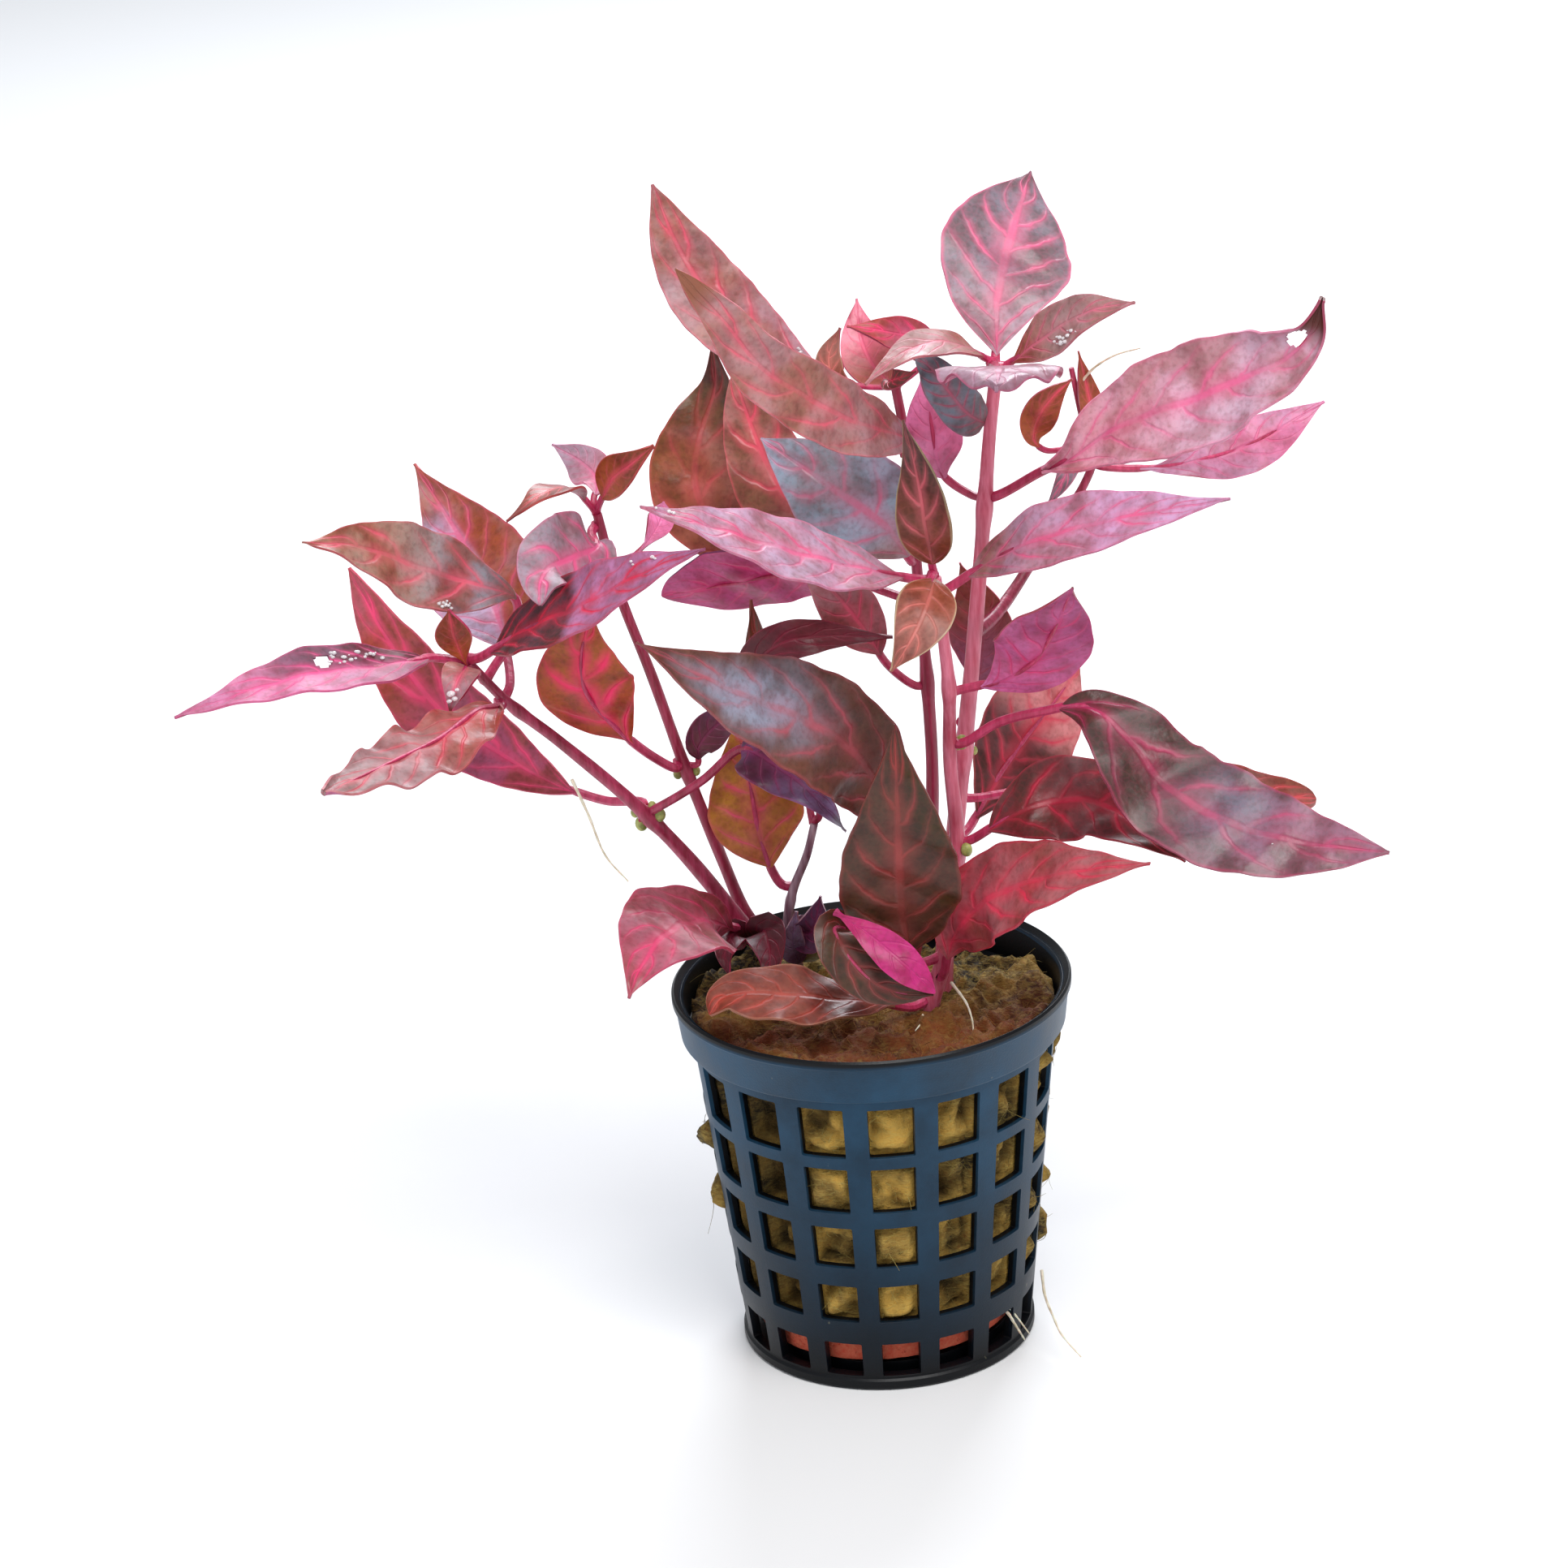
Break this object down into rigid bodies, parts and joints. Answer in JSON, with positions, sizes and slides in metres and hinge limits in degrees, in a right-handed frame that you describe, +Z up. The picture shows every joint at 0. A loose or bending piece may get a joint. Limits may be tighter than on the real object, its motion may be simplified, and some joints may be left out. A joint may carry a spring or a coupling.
{
  "type": "potted aquatic plant",
  "caption": "Small red-leaved aquatic plant in a black plastic net pot filled with mineral wool, with broad pointed leaves on upright stems",
  "frame": {"origin": "middle of the underside of the pot's base", "axes": "+X across the pot to the right as seen from the front, +Y towards the back, +Z up along the pot's axis"},
  "size_m": [0.1477, 0.0765, 0.1529],
  "materials": {
    "black_plastic": "satin",
    "clay": "matte",
    "mineral_wool": "matte",
    "pink_stem": "satin",
    "dark_stem": "satin",
    "pink_leaf": "gloss",
    "backlit_leaf": "gloss",
    "dusky_leaf": "gloss",
    "dark_leaf": "gloss",
    "red_brown_leaf": "gloss",
    "root": "matte"
  },
  "bodies": {
    "root": {"clay_disc": "clay", "leaf_back_brown": "backlit_leaf", "leaf_back_purple": "dark_leaf", "leaf_back_right": "pink_leaf", "leaf_back_slim": "dark_leaf", "leaf_back_tall": "dusky_leaf", "leaf_centre_grey": "dusky_leaf", "leaf_centre_long": "pink_leaf", "leaf_centre_low": "red_brown_leaf", "leaf_front_arched": "dusky_leaf", "leaf_front_folded": "pink_leaf", "leaf_front_upright": "red_brown_leaf", "leaf_high_grey": "dusky_leaf", "leaf_high_left": "pink_leaf", "leaf_high_right": "pink_leaf", "leaf_left_back": "dark_leaf", "leaf_left_curled": "red_brown_leaf", "leaf_left_dark": "dark_leaf", "leaf_left_inner": "pink_leaf", "leaf_left_long": "pink_leaf", "leaf_left_upper": "dusky_leaf", "leaf_left_upright": "red_brown_leaf", "leaf_middle_drooping": "dusky_leaf", "leaf_middle_lower": "backlit_leaf", "leaf_middle_orange": "backlit_leaf", "leaf_middle_slim": "red_brown_leaf", "leaf_middle_small": "dark_leaf", "leaf_middle_top": "pink_leaf", "leaf_on_wool": "red_brown_leaf", "leaf_right_behind": "red_brown_leaf", "leaf_right_broad": "dusky_leaf", "leaf_right_long": "pink_leaf", "leaf_right_orange": "backlit_leaf", "leaf_right_purple": "pink_leaf", "leaf_rim_left": "pink_leaf", "leaf_rim_right": "pink_leaf", "leaf_rim_right_back": "red_brown_leaf", "leaf_short_maroon": "dark_leaf", "leaf_short_olive": "red_brown_leaf", "leaf_short_yellow": "backlit_leaf", "leaf_tip_down": "red_brown_leaf", "leaf_tip_up": "red_brown_leaf", "leaf_top": "dusky_leaf", "leaf_top_front": "pink_leaf", "leaf_top_left": "red_brown_leaf", "leaf_top_right": "red_brown_leaf", "leaf_upper_left": "pink_leaf", "mineral_wool": "mineral_wool", "net_pot": "black_plastic", "root_hanging": "root", "root_outside": "root", "stem_back": "dark_stem", "stem_branch": "dark_stem", "stem_front": "pink_stem", "stem_left": "dark_stem", "stem_middle": "dark_stem", "stem_right": "pink_stem", "stem_short": "dark_stem"}
  },
  "joints": []
}
